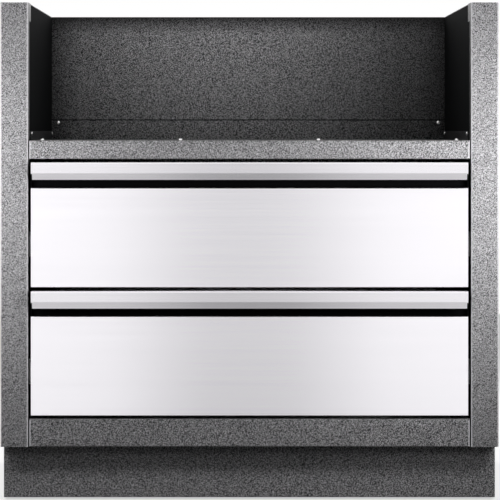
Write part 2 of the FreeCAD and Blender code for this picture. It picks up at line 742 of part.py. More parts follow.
def finger_channel(name, level):
    """Black pan behind the pull, open to the front."""
    body = new_body(f"{name}_finger_channel", level)
    x = both(face_half)
    y = (d.channel_front, d.front_depth)
    block(body, x, y, (panel_height, pull_under))
    inside_x = both(face_half - d.sheet)
    inside_z = (panel_height + d.sheet, pull_under - d.sheet)
    inside_y = (d.channel_front - d.sheet, d.front_depth - d.sheet)
    clear(body, inside_x, inside_y, inside_z)
    soften(body, d.channel_cove, [("x", {"y": inside_y[1], "z": inside_z[0]})])


def inner_front(name, level):
    body = new_body(f"{name}_inner_front", level)
    half = face_half - d.inner_inset
    block(body, both(half), (d.front_depth, box_front), (d.inner_inset, pull_under))
    for _, side in SIDES:
        for rise in front_screw_levels():
            at = (front_screw_x(side), d.front_depth, rise)
            drill(body, at, "y", hole_radius, d.box_sheet)


def front_screw_x(side):
    return side * (box_half - d.box_tab / 2)


def front_screw_levels():
    return (d.box_lift + d.front_screw_rise, panel_height - d.front_screw_drop)


def box_side(label, side, level):
    """Side of a drawer box, turned in along its top, bottom and front edges."""
    body = new_body(label, level)
    run = (box_front, box_back)
    levels = (d.box_lift, box_top)
    block(body, spread(side, box_half - d.box_sheet, box_half), run, levels)
    ledge = (levels[0], levels[0] + d.box_sheet)
    block(body, spread(side, box_half - d.box_ledge, box_half), run, ledge)
    hem = (levels[1] - d.box_sheet, levels[1])
    block(body, spread(side, box_half - d.box_hem, box_half), run, hem)
    tab_run = (box_front, box_front + d.box_sheet)
    block(body, spread(side, box_half - d.box_tab, box_half), tab_run, levels)
    for rise in front_screw_levels():
        drill(body, (front_screw_x(side), box_front, rise), "y", hole_radius, d.box_sheet)


def box_bottom(name, level):
    body = new_body(f"{name}_box_bottom", level)
    run = (box_front + d.box_sheet, box_back - d.box_sheet)
    plate = (d.box_lift + d.box_sheet, d.box_lift + d.box_sheet * 2)
    block(body, both(box_half - d.box_sheet), run, plate)


def box_rear(name, level):
    body = new_body(f"{name}_box_rear", level)
    half = box_half - d.box_sheet
    top = box_top - d.box_sheet
    block(body, both(half), (box_back - d.box_sheet, box_back), (d.box_lift + d.box_sheet, top))
    block(body, both(half), (box_back - d.box_hem, box_back), (top - d.box_sheet, top))


# Depths within a runner, from the liner towards the drawer box.
outer_cage_u = d.runner_sheet + d.cage_gap
middle_u = outer_cage_u + d.cage_sheet + d.cage_gap
inner_cage_u = middle_u + d.runner_sheet + d.cage_gap
drawer_web_u = d.runner_width - d.runner_sheet
middle_lip_u = drawer_web_u - d.cage_gap * 2
drawer_lip_u = inner_cage_u + d.cage_sheet + d.cage_gap * 2

# Heights within a runner, up and down from its middle.
ball_track = d.ball_diameter + d.ball_gap * 2
cabinet_track = d.runner_height / 2 - d.runner_sheet
middle_outer = cabinet_track - ball_track
middle_inner = middle_outer - d.runner_sheet
drawer_outer = middle_inner - ball_track
drawer_inner = drawer_outer - d.runner_sheet
outer_row = cabinet_track - ball_track / 2
inner_row = middle_inner - ball_track / 2
outer_ball_u = (middle_u + d.runner_lip) / 2
inner_ball_u = (drawer_lip_u + middle_lip_u) / 2


def from_liner(side, near, far):
    return spread(side, liner_face - far, liner_face - near)


def runner_member(label, level, web, lip, inner, outer):
    """The same folded member of the left and the right runner: a web and two edges."""
    body = new_body(label, level)
    run = (d.runner_start, d.runner_start + d.runner_length)
    for _, side in SIDES:
        block(body, from_liner(side, *web), run, (runner_axis - outer, runner_axis + outer))
        block(body, from_liner(side, *lip), run, (runner_axis + inner, runner_axis + outer))
        block(body, from_liner(side, *lip), run, (runner_axis - outer, runner_axis - inner))
    return body


def cabinet_runners(name, level):
    web = (as_size(0), d.runner_sheet)
    lip = (as_size(0), d.runner_lip)
    label = f"{name}_cabinet_runners"
    body = runner_member(label, level, web, lip, cabinet_track, d.runner_height / 2)
    for _, side in SIDES:
        first = (from_liner(side, *web)[0], rivet_first, runner_axis)
        hole = drill(body, first, "x", rivet_hole_radius, d.runner_sheet)
        repeat(body, hole, ("y", RIVETS_PER_RUNNER, rivet_pitch))


def middle_runners(name, level):
    web = (middle_u, middle_u + d.runner_sheet)
    lip = (middle_u, middle_lip_u)
    runner_member(f"{name}_middle_runners", level, web, lip, middle_inner, middle_outer)


def drawer_runners(name, level):
    web = (drawer_web_u, d.runner_width)
    lip = (drawer_lip_u, d.runner_width)
    runner_member(f"{name}_drawer_runners", level, web, lip, drawer_inner, drawer_outer)


def ball_cages(label, level, web_u, row, ball_u):
    """Folded cages of the left and right runners, with the balls loose in their pockets."""
    body = new_body(label, level)
    middle = d.runner_start + d.runner_length / 2
    run = (middle - d.cage_length / 2, middle + d.cage_length / 2)
    first_ball = middle - d.ball_pitch * (BALLS_PER_ROW - 1) / 2
    rows = ("y", BALLS_PER_ROW, d.ball_pitch), ("z", 2, row * 2)
    outer = row + d.cage_sheet / 2
    inner = row - d.cage_sheet / 2
    for _, side in SIDES:
        web = from_liner(side, web_u, web_u + d.cage_sheet)
        edge = from_liner(side, web_u, web_u + d.cage_lip)
        block(body, web, run, (runner_axis - outer, runner_axis + outer))
        block(body, edge, run, (runner_axis + inner, runner_axis + outer))
        block(body, edge, run, (runner_axis - outer, runner_axis - inner))
    for _, side in SIDES:
        x = side * (liner_face - ball_u)
        pocket_radius = d.ball_diameter / 2 + d.ball_pocket_gap
        pocket = drill(body, (x, first_ball, runner_axis - outer), "z", pocket_radius, d.cage_sheet)
        repeat(body, pocket, *rows)
    for _, side in SIDES:
        x = side * (liner_face - ball_u)
        ball = body.newObject("PartDesign::AdditiveSphere", f"{body.Name}_ball")
        bind(ball, Radius=d.ball_diameter / 2)
        place(ball, x, first_ball, runner_axis - row)
        repeat(body, ball, *rows)


def drawer(name, level):
    drawer_front(name, level)
    drawer_pull(name, level)
    finger_channel(name, level)
    inner_front(name, level)
    for hand, side in SIDES:
        box_side(f"{name}_box_{hand}", side, level)
    box_bottom(name, level)
    box_rear(name, level)
    cabinet_runners(name, level)
    middle_runners(name, level)
    drawer_runners(name, level)
    ball_cages(f"{name}_outer_cages", level, outer_cage_u, outer_row, outer_ball_u)
    ball_cages(f"{name}_inner_cages", level, inner_cage_u, inner_row, inner_ball_u)
    screws(f"{name}_front_screws", d.box_sheet * 2 + d.screw_reach, front_screw_seats(level))


def fastener(label, head_radius, head_height, shank_radius, shank_length):
    """One domed fastener: the seat of its head at the origin, its shank down along z."""
    master = doc.addObject("PartDesign::Body", f"{label}_master")
    disc(master, (0, 0, 0), "z", head_radius, d.head_rim)
    dome = master.newObject("PartDesign::AdditiveCone", f"{master.Name}_dome")
    bind(dome, Radius1=head_radius, Radius2=head_radius - d.head_taper, Height=head_height - d.head_rim)
    place(dome, 0, 0, d.head_rim)
    disc(master, (0, 0, -shank_length), "z", shank_radius, shank_length)
    return master


def group(label, master, seats):
    """Copies of one fastener at (place, direction of its head), as one sub-part."""
    copies = []
    for at, direction in seats:
        copy = doc.addObject("App::Link", f"{label}_copy")
        copy.LinkedObject = master
        copy.LinkTransform = False
        copy.Placement = FreeCAD.Placement(FreeCAD.Vector(), TURN_FROM_Z[direction])
        place(copy, at[0], front_y + at[1], at[2])
        copies.append(copy)
    compound = doc.addObject("Part::Compound", label)
    compound.Label = label
    compound.Links = copies
    pieces.append(compound)


def screws(label, shank_length, seats):
    master = fastener(label, d.head_radius, d.head_height, d.screw_radius, shank_length)
    drive = both(d.drive_width / 2)
    clear(master, drive, drive, (d.head_height - d.drive_depth, d.head_height + d.drive_depth))
    group(label, master, seats)


def front_screw_seats(level):
    y = box_front + d.box_sheet
    places = [(front_screw_x(side), y, level + rise) for _, side in SIDES for rise in front_screw_levels()]
    return [(at, "y") for at in places]


def carcass_fasteners():
    post_seats = [((post_middle(side), 0, z), "-y") for _, side in SIDES for z in post_screw_levels()]
    screws("post_screws", d.sheet + d.screw_reach, post_seats)
    deck_row = in_row(deck_screw_first, deck_screw_pitch, DECK_SCREWS)
    deck_seats = [((x, d.deck_screw_inset, deck_top), "z") for x in deck_row]
    screws("deck_screws", d.sheet * 2 + d.screw_reach, deck_seats)
    upstand_level = deck_top + d.upstand_screw_rise
    upstand_y = flange_front - d.sheet
    upstand_seats = [((upstand_screw_x(side), upstand_y, upstand_level), "-y") for _, side in SIDES]
    screws("upstand_screws", d.sheet * 2, upstand_seats)
    side_level = deck_top + d.side_screw_rise
    side_seats = [
        ((side * (liner_face - d.sheet), y, side_level), "-x" if side > 0 else "x")
        for _, side in SIDES
        for y in side_screw_places()
    ]
    screws("deck_side_screws", d.sheet * 2 + d.screw_reach, side_seats)
    rear_row = in_row(rear_screw_first, rear_screw_pitch, REAR_SCREWS_PER_SIDE)
    rear_seats = [((side * rear_screw_x, d.body_depth, z), "y") for _, side in SIDES for z in rear_row]
    screws("rear_panel_screws", d.sheet * 2 + d.screw_reach, rear_seats)


def runner_rivets():
    """Heads behind the liners, shanks flush with the inside of the runners."""
    shank = d.sheet + d.runner_sheet
    master = fastener("runner_rivets", d.rivet_head_radius, d.rivet_head_height, d.rivet_radius, shank)
    seats = [
        ((side * liner_back, y, level + runner_axis), "x" if side > 0 else "-x")
        for _, side in SIDES
        for level in (lower_level, upper_level)
        for y in in_row(rivet_first, rivet_pitch, RIVETS_PER_RUNNER)
    ]
    group("runner_rivets", master, seats)


def build():
    for hand, side in SIDES:
        post(f"{hand}_post", side)
        side_panel(f"{hand}_side_panel", side)
        liner(f"{hand}_liner", side)
        side_plinth(f"{hand}_plinth", side)
    rear_panel()
    hose_grommet()
    top_rail()
    rail("bottom_rail", body_bottom, bottom_rail_top)
    grill_deck()
    cabinet_floor()
    kick_panel()
    rear_plinth()
    leveller_brackets()
    leveller_nuts()
    for hand, side in SIDES:
        for end in FOOT_ENDS:
            foot(f"{end}_{hand}_foot", side, end)
    drawer("upper", upper_level)
    drawer("lower", lower_level)
    carcass_fasteners()
    runner_rivets()


def check():
    """Stops before anything is written if an object failed or a shape is bad."""
    doc.recompute()
    for thing in doc.Objects:
        if "Invalid" in thing.State or "Error" in thing.State:
            raise RuntimeError(f"{thing.Label} failed: {thing.State}")
    for piece in pieces:
        if piece.Shape.isNull() or not piece.Shape.isValid():
            raise RuntimeError(f"{piece.Label} has no valid shape")


def write():
    os.makedirs("parts", exist_ok=True)
    for piece in pieces:
        piece.Shape.exportStep(f"parts/{piece.Label}.step")
    print(len(pieces), "pieces written")


build()
check()
write()
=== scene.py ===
# %% [markdown]
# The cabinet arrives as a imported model: one mesh for each folded sheet, rail, runner and screw group of the
# real cabinet, already in its place, in metres. It could be modelled again here, but a finish that is laid
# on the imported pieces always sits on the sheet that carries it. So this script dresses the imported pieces,
# and makes only the screws, the rivets and the feet anew.

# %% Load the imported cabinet
import json
import math

import bmesh
import bpy
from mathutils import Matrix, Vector

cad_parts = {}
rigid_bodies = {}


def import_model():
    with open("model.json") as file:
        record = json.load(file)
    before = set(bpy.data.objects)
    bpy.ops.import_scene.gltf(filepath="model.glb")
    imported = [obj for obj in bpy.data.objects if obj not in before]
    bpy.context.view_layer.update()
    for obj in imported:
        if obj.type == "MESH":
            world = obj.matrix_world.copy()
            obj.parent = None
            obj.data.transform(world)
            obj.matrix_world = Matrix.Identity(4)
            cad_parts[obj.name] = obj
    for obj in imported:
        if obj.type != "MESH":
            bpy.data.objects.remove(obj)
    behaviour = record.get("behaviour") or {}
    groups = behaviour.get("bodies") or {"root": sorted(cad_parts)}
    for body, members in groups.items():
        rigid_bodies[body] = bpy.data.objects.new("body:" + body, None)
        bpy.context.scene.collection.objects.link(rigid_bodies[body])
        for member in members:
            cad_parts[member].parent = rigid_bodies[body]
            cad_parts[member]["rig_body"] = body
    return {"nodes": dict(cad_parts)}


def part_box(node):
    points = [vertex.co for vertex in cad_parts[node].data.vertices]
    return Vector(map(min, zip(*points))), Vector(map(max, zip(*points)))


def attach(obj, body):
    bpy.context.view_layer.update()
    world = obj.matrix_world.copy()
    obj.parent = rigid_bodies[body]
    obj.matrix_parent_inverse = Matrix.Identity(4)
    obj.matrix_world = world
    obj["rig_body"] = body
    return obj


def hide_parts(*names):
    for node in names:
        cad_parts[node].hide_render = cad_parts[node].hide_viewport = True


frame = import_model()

scene = bpy.context.scene
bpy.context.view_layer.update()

# %% [markdown]
# The picture is a level front view from some way off, with the lines of sight meeting left of the middle
# and well above it. A tilted camera would make the posts lean towards each other, so this one stays level
# and its film is shifted instead, as with a view camera.

# %% The camera
IMAGE_SIDE = 500.0
SENSOR_MM = 36.0
FOCAL_PIXELS = 2531.0
VANISHING_X = 238.4
VANISHING_Y = 129.5
CAMERA_DISTANCE = 4.64
CAMERA_HEIGHT = 0.687
CAMERA_X = -0.0204
FAR_CLIP = 50.0

front_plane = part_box("left_post")[0].y
camera_data = bpy.data.cameras.new("photo_camera")
camera_data.sensor_width = SENSOR_MM
camera_data.lens = FOCAL_PIXELS * SENSOR_MM / IMAGE_SIDE
camera_data.shift_x = 0.5 - VANISHING_X / IMAGE_SIDE
camera_data.shift_y = VANISHING_Y / IMAGE_SIDE - 0.5
camera_data.clip_end = FAR_CLIP
camera = bpy.data.objects.new("photo_camera", camera_data)
camera.location = (CAMERA_X, front_plane - CAMERA_DISTANCE, CAMERA_HEIGHT)
camera.rotation_euler = (math.radians(90.0), 0.0, 0.0)
scene.collection.objects.link(camera)
scene.camera = camera
scene.view_settings.view_transform = "Standard"
print("lens:", round(camera_data.lens, 1), "mm, front plane at y =", round(front_plane, 4))

# %% [markdown]
# Finishes, the room around the cabinet and repeated pieces are all built from nodes. Writing out every node
# by hand hides the idea behind the wiring, so a few short helpers come first. One adds a node and fills its
# inputs, and the others name the small steps that come back everywhere, such as a sum or the parts of a
# vector.

# %% Helpers for node trees
WHITE = (1.0, 1.0, 1.0, 1.0)


def add(tree, kind, inputs=None, **settings):
    """A new node: its settings, then its inputs, each a constant or the output of another node."""
    node = tree.nodes.new(kind)
    for name, value in settings.items():
        setattr(node, name, value)
    for socket, value in (inputs or {}).items():
        if isinstance(value, bpy.types.NodeSocket):
            tree.links.new(value, node.inputs[socket])
        else:
            node.inputs[socket].default_value = value
    return node


def calculate(tree, operation, *values):
    return add(tree, "ShaderNodeMath", dict(enumerate(values)), operation=operation).outputs[0]


def between(tree, factor, low, high, start=0.0, end=1.0):
    """The factor's stretch from start to end, spread over low to high."""
    inputs = {"Value": factor, "From Min": start, "From Max": end, "To Min": low, "To Max": high}
    return add(tree, "ShaderNodeMapRange", inputs).outputs["Result"]


def parts_of(tree, arrow):
    """The x, y and z of a vector."""
    return add(tree, "ShaderNodeSeparateXYZ", {"Vector": arrow}).outputs


def length_of(tree, arrow):
    return add(tree, "ShaderNodeVectorMath", {0: arrow}, operation="LENGTH").outputs["Value"]


# %% [markdown]
# A studio is a white room with lamps in it. The world plays the room: eyes and mirrors see it white, but
# matt paint gets only a little of that light, so that the lamps can shape the sheets. The Light Path node
# tells the kinds of ray apart. A mirror counts only on a ray that hasn't touched matt paint before, because
# otherwise the white room would light that paint by way of the steel. Behind the camera the room is open
# and darker, and the steel fronts mirror that as a broad dark stripe in their middle.

# %% The white room
ROOM_LIGHT = 0.012
DARK_MIDDLE = 0.78
BRIGHT_SIDES = 1.35
DARK_EDGE = (0.08, 0.25)
HALF_A_BOUNCE = 0.5


def seen_rays(tree):
    """One for a look, a mirror or a glass, all of which show the white room, and nought for other light."""
    rays = add(tree, "ShaderNodeLightPath").outputs
    straight = calculate(tree, "LESS_THAN", rays["Diffuse Depth"], HALF_A_BOUNCE)
    mirror = calculate(tree, "MULTIPLY", rays["Is Glossy Ray"], straight)
    seen = calculate(tree, "MAXIMUM", rays["Is Camera Ray"], mirror)
    return calculate(tree, "MAXIMUM", seen, rays["Is Transmission Ray"])


def mirrored_room(tree, aside, share=1.0):
    """One for a look. For a mirror, this share of the room's light so many metres aside from its middle."""
    mirror = add(tree, "ShaderNodeLightPath").outputs["Is Glossy Ray"]
    light = between(tree, calculate(tree, "ABSOLUTE", aside), DARK_MIDDLE, BRIGHT_SIDES, *DARK_EDGE)
    return between(tree, mirror, 1.0, calculate(tree, "MULTIPLY", light, share))


world = bpy.data.worlds.new("studio")
world.use_nodes = True
scene.world = world
room = world.node_tree
background = room.nodes["Background"]
background.inputs["Color"].default_value = WHITE
way = add(room, "ShaderNodeTexCoord").outputs["Generated"]
way_x, way_y, _ = parts_of(room, way)
turn = calculate(room, "ARCTAN2", way_x, calculate(room, "MULTIPLY", way_y, -1.0))
room_seen = mirrored_room(room, calculate(room, "MULTIPLY", turn, CAMERA_DISTANCE))
room_strength = between(room, seen_rays(room), ROOM_LIGHT, room_seen)
room.links.new(room_strength, background.inputs["Strength"])
print("room light on matt paint:", ROOM_LIGHT)

# %% [markdown]
# The floor is a plain pale sheet that catches the cabinet's shadow. The camera and the brushed steel see it
# as part of the white room, with a share of its own light mixed in, so it goes pale without losing the
# shadow. A brighter lamp would also whiten it, but would burn out the steel. Matt paint gets little light
# back from it, so the base stays dark below the drawers. In a mirror the floor has the room's dark middle,
# and it is darker near the cabinet, so that the front of an open drawer stands out from it.

# %% The floor
FLOOR_SIDE = 9.0
FLOOR_TONE = 0.86
FLOOR_BOUNCE = 0.12
FLOOR_GLOW = 0.58
FLOOR_ROUGHNESS = 0.9
NEAR_FLOOR = 0.62
NEAR_REACH = (0.5, 2.2)

floor_mesh = bpy.data.meshes.new("studio_floor")
half = FLOOR_SIDE / 2.0
corners = [(-half, -half, 0.0), (half, -half, 0.0), (half, half, 0.0), (-half, half, 0.0)]
floor_mesh.from_pydata(corners, [], [(0, 1, 2, 3)])
floor = bpy.data.objects.new("studio_floor", floor_mesh)
scene.collection.objects.link(floor)
floor_finish = bpy.data.materials.new("pale_floor")
floor_finish.use_nodes = True
floor_tree = floor_finish.node_tree
floor_shader = floor_tree.nodes["Principled BSDF"]
floor_shader.inputs["Roughness"].default_value = FLOOR_ROUGHNESS
floor_shader.inputs["Specular IOR Level"].default_value = 0.0
floor_shader.inputs["Emission Color"].default_value = WHITE
floor_seen = seen_rays(floor_tree)
floor_tint = between(floor_tree, floor_seen, FLOOR_BOUNCE, FLOOR_TONE)
floor_tree.links.new(floor_tint, floor_shader.inputs["Base Color"])

# The fronts show the floor as it looks from the camera's mirror image, which is as far behind them.
place = add(floor_tree, "ShaderNodeTexCoord").outputs["Object"]
place_x, place_y, _ = parts_of(floor_tree, place)
distance = calculate(floor_tree, "SUBTRACT", CAMERA_DISTANCE + front_plane, place_y)
aside = calculate(floor_tree, "DIVIDE", calculate(floor_tree, "MULTIPLY", place_x, CAMERA_DISTANCE), distance)
near = between(floor_tree, length_of(floor_tree, place), NEAR_FLOOR, 1.0, *NEAR_REACH)
floor_room = calculate(floor_tree, "MULTIPLY", mirrored_room(floor_tree, aside, near), FLOOR_GLOW)
floor_glow = between(floor_tree, floor_seen, 0.0, floor_room)
floor_tree.links.new(floor_glow, floor_shader.inputs["Emission Strength"])
floor_mesh.materials.append(floor_finish)
print("floor:", FLOOR_SIDE, "m a side")

# %% [markdown]
# Two soft boxes stand close in front, one on each side, just outside the picture. They light the posts and
# leave the middle of the bay darker, and because they are near, the light fades quickly towards the base.
# They hang a little lower than the grill deck, so that its top and the foot of its upstand stay dark. A
# lamp above would light both. Two weak boxes further off light the base. Two larger ones light the back and
# the sides from behind, and no face that looks ahead gets any of their light. The steel would show all of
# them as hard white stripes, so mirrors and eyes don't see them.

# %% The soft boxes
BOX_SIZE = (0.31, 0.26)
BOX_SPREAD = 128.0
BOX_ASIDE = 0.61
BOX_AHEAD = 0.49
BOX_HEIGHT = 0.61
AIM_HEIGHT = 0.66
LEFT_POWER, RIGHT_POWER = 1.55, 2.49
LEFT_AIM, RIGHT_AIM = 0.52, 0.20
LOW_SIZE = (0.40, 0.20)
LOW_SPREAD = 100.0
LOW_ASIDE = 0.58
LOW_AHEAD = 0.90
LOW_HEIGHT = 0.42
LOW_AIM = (0.50, 0.04)
LEFT_LOW_POWER, RIGHT_LOW_POWER = 0.15, 0.26
REAR_SIZE = (0.80, 0.80)
REAR_SPREAD = 180.0
REAR_PLACE = (1.30, 1.40, 1.30)
REAR_AIM = (0.10, 0.30, 0.50)
REAR_POWER = 13.0


def softbox(name, power, size, spread, place, target):
    data = bpy.data.lights.new(name, "AREA")
    data.shape = "RECTANGLE"
    data.size, data.size_y = size
    data.energy = power
    data.spread = math.radians(spread)
    lamp = bpy.data.objects.new(name, data)
    lamp.location = place
    lamp.rotation_euler = (Vector(target) - Vector(place)).to_track_quat("-Z", "Y").to_euler()
    lamp.visible_camera = False
    lamp.visible_glossy = False
    scene.collection.objects.link(lamp)
    print(name, power, "W")


for side, side_name, power, aim_aside, low_power in (
        (-1.0, "left", LEFT_POWER, LEFT_AIM, LEFT_LOW_POWER),
        (1.0, "right", RIGHT_POWER, RIGHT_AIM, RIGHT_LOW_POWER)):
    place = (side * BOX_ASIDE, front_plane - BOX_AHEAD, BOX_HEIGHT)
    target = (side * aim_aside, front_plane, AIM_HEIGHT)
    softbox(f"{side_name}_softbox", power, BOX_SIZE, BOX_SPREAD, place, target)
    place = (side * REAR_PLACE[0], *REAR_PLACE[1:])
    target = (side * REAR_AIM[0], *REAR_AIM[1:])
    softbox(f"rear_{side_name}_softbox", REAR_POWER, REAR_SIZE, REAR_SPREAD, place, target)
    place = (side * LOW_ASIDE, front_plane - LOW_AHEAD, LOW_HEIGHT)
    target = (side * LOW_AIM[0], front_plane, LOW_AIM[1])
    softbox(f"low_{side_name}_softbox", low_power, LOW_SIZE, LOW_SPREAD, place, target)

# %% [markdown]
# Every finish below is a pattern in space. It reads Object coordinates, which here are metres from the
# middle of the cabinet's foot, so a grain has its real size on every piece and runs on from one sheet to
# the next. Unwrapping dozens of folded sheets would give the same look for much more work.

# %% Helpers for finishes
MAIN_SHARE = 0.6


def new_finish(name):
    """A material, its tree, its shader, and the coordinates that its patterns are laid on."""
    material = bpy.data.materials.new(name)
    material.use_nodes = True
    tree = material.node_tree
    point = add(tree, "ShaderNodeTexCoord").outputs["Object"]
    return material, tree, tree.nodes["Principled BSDF"], point


def grain(tree, point, lumps, detail=2.0):
    """Cloudy noise with this many lumps to a metre, one number for all ways or one for each of x, y and z."""
    if isinstance(lumps, tuple):
        point = add(tree, "ShaderNodeMapping", {"Vector": point, "Scale": lumps}).outputs["Vector"]
        lumps = 1.0
    inputs = {"Vector": point, "Scale": lumps, "Detail": detail}
    return add(tree, "ShaderNodeTexNoise", inputs).outputs["Fac"]


def weighed(tree, main, other):
    """Two patterns in one, more of the main one than of the other."""
    main_part = calculate(tree, "MULTIPLY", main, MAIN_SHARE)
    return calculate(tree, "ADD", main_part, calculate(tree, "MULTIPLY", other, 1.0 - MAIN_SHARE))


def tones(tree, pattern, dark, light, start=0.3, end=0.7):
    """Dark where the pattern is at the start, light where it is at the end."""
    ramp = add(tree, "ShaderNodeValToRGB", {"Fac": pattern})
    for element, position, colour in zip(ramp.color_ramp.elements, (start, end), (dark, light)):
        element.position = position
        element.color = (*colour, 1.0)
    return ramp.outputs["Color"]


def shaded(tree, colour, factor):
    """The colour, multiplied by the factor."""
    inputs = {0: colour, "Scale": factor}
    return add(tree, "ShaderNodeVectorMath", inputs, operation="SCALE").outputs["Vector"]


def facing(tree):
    """How much each point of a sheet faces along x, y and z, either way."""
    normal = add(tree, "ShaderNodeTexCoord").outputs["Normal"]
    size = add(tree, "ShaderNodeVectorMath", {0: normal}, operation="ABSOLUTE").outputs["Vector"]
    return parts_of(tree, size)


def lay_on(tree, shader, colour, pattern, roughness, bump, height=None, **constants):
    """Gives a shader its colour, a roughness and a bump from patterns, and what is the same all over."""
    tree.links.new(colour, shader.inputs["Base Color"])
    tree.links.new(between(tree, pattern, *roughness), shader.inputs["Roughness"])
    strength, depth = bump
    lumps = {"Height": pattern if height is None else height, "Strength": strength, "Distance": depth}
    tree.links.new(add(tree, "ShaderNodeBump", lumps).outputs["Normal"], shader.inputs["Normal"])
    for name, value in constants.items():
        socket = name.replace("_", " ").title().replace("Ior", "IOR")
        shader.inputs[socket].default_value = value


# %% [markdown]
# The carcass is painted with a hammer finish, a grey coat that shrinks into small lumps and hollows while
# it is baked. The lumps are less than two millimetres wide, paler on top where the metal flakes in the
# paint lie flat. Real dents would need millions of faces, so cells and noise drive colour, gloss and bump.
# The upright folds get a painted highlight: they are paler and partly metallic, standing in for the
# lamps' light that they catch. A fold like that is where a sheet faces aside and ahead at once.

# %% Hammered grey
LUMPS = 620.0
CELLS = 560.0
CELL_SHARE = 0.30
TURN = (0.5, 0.9, 0.3)
# The fold values paint a highlight onto each upright fold.
FOLD_HIGHLIGHT_EDGES = (0.05, 0.30)
FOLD_HIGHLIGHT_PALENESS = 0.30
FOLD_HIGHLIGHT_SHINE = 0.38
DARK_GREY = (0.02, 0.02, 0.0205)
PALE_GREY = (0.80, 0.79, 0.815)
MIDDLE_TONE = 0.40
TONE_RANGE = 0.20


def make_hammered_grey(name, darkening=None, contrast=1.0, folded=True, middle=MIDDLE_TONE):
    """The hammer finish, with painted shade where a rule, if one is given, says so, and, if folded, a painted
    highlight on each upright fold.
    """
    material, tree, shader, point = new_finish(name)
    turned = add(tree, "ShaderNodeMapping", {"Vector": point, "Rotation": TURN}).outputs["Vector"]
    flecks = grain(tree, turned, LUMPS, detail=1.0)
    cells = add(tree, "ShaderNodeTexVoronoi", {"Vector": turned, "Scale": CELLS}, feature="SMOOTH_F1")
    hollows = calculate(tree, "MULTIPLY", cells.outputs["Distance"], CELL_SHARE)
    lumps = calculate(tree, "SUBTRACT", flecks, hollows)
    paleness = lumps
    if folded:
        # Painted highlight: each upright fold is paler and partly metallic.
        along_x, along_y, _ = facing(tree)
        fold_highlight = between(tree, calculate(tree, "MULTIPLY", along_x, along_y), 0.0, 1.0, *FOLD_HIGHLIGHT_EDGES)
        paleness = calculate(tree, "MULTIPLY_ADD", fold_highlight, FOLD_HIGHLIGHT_PALENESS, lumps)
        tree.links.new(calculate(tree, "MULTIPLY", fold_highlight, FOLD_HIGHLIGHT_SHINE), shader.inputs["Metallic"])
    reach = TONE_RANGE / contrast
    colour = tones(tree, paleness, DARK_GREY, PALE_GREY, start=middle - reach, end=middle + reach)
    if darkening:
        colour = shaded(tree, colour, darkening(tree, point))
    lay_on(
        tree, shader, colour, flecks, roughness=(0.50, 0.36), bump=(0.25, 0.0012), height=lumps,
        specular_ior_level=0.16)
    return material


# %% [markdown]
# Some pieces of that grey need a rule of their own, and each rule paints shade. The floor and the side
# walls of the grill deck's folded tray are painted darker than its upstand, as shade in its inner corners.
# The deck and the rear panel get painted shade towards the walls of the bay, and the rear panel at its top.
# Along the upstand's rim a thin dark band is a painted shadow of a gap to the panel behind. The post screws
# are painted with the posts, and the bottom of the driver's hole gets painted shade.

# %% Darker places
# Painted shade in the deck's tray, and a painted shadow along its rim.
TRAY_SHADE = 0.45
TRAY_WALL_SHADE = 0.20
RIM_SHADE = 0.12
RIM_WIDTH = 0.0022
# Painted shade at the top of the rear panel.
PANEL_RIM_SHADE = 0.05
PANEL_RIM = 0.036
# Painted shade towards the walls of the bay.
CORNER_SHADE = 0.24
CORNER_WIDTH = 0.060
# Painted shade at the bottom of the post screws' driver holes.
HOLE_SHADE = 0.10
HOLE_FLOOR = 0.0008
HOLE_EDGE = 0.0002


def darker_corners(tree, point):
    """Painted shade towards the two walls of the bay."""
    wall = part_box("grill_deck")[1].x
    aside = calculate(tree, "ABSOLUTE", parts_of(tree, point)["X"])
    return between(tree, aside, 1.0, CORNER_SHADE, wall - CORNER_WIDTH, wall)


def darker_tray(tree, point):
    """Painted shade on level faces, side walls and towards the bay's walls, and a painted shadow on the rim.
    """
    along_x, _, along_z = facing(tree)
    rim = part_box("grill_deck")[1].z - RIM_WIDTH
    # A thin painted shadow at the top of the rim.
    rim_shadow_line = between(tree, parts_of(tree, point)["Z"], 1.0, RIM_SHADE, rim - RIM_WIDTH / 4.0, rim)
    level = between(tree, along_z, 1.0, TRAY_SHADE)
    upright = calculate(tree, "MULTIPLY", between(tree, along_x, 1.0, TRAY_WALL_SHADE), rim_shadow_line)
    tray = calculate(tree, "MULTIPLY", level, upright)
    return calculate(tree, "MULTIPLY", tray, darker_corners(tree, point))


def darker_panel(tree, point):
    """Painted shade towards the top and the walls, on the side that looks into the bay."""
    (_, inner, _), (_, outer, top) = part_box("rear_panel")
    _, back, height = parts_of(tree, point)
    rim = between(tree, height, 1.0, PANEL_RIM_SHADE, top - PANEL_RIM, top)
    shade = calculate(tree, "MULTIPLY", rim, darker_corners(tree, point))
    return between(tree, back, shade, 1.0, inner, outer)


def darker_hole(tree, point):
    """Painted shade at the bottom of a hole in a post screw's head."""
    bottom = front_plane - HOLE_FLOOR
    return between(tree, parts_of(tree, point)["Y"], 1.0, HOLE_SHADE, bottom - HOLE_EDGE, bottom)


# %% [markdown]
# The liners and the finger channels wear a smooth black coat. Seen along the wall, a shiny black would
# mirror the whole bay, so this one is matt and gives back little of the light that grazes it. Its colour is
# far darker than real black paint, so it also paints in the shade that lies on the walls of the bay.

# %% Black coat
def make_black_coat():
    material, tree, shader, point = new_finish("black_coat_and_shade_finish")
    dust = grain(tree, point, lumps=900.0, detail=3.0)
    # Far darker than real black paint: black coat and painted shade in one.
    colour = tones(tree, dust, dark=(0.003, 0.0032, 0.0035), light=(0.006, 0.0062, 0.0065))
    lay_on(tree, shader, colour, dust, roughness=(0.80, 0.64), bump=(0.15, 0.0002), specular_ior_level=0.015)
    return material


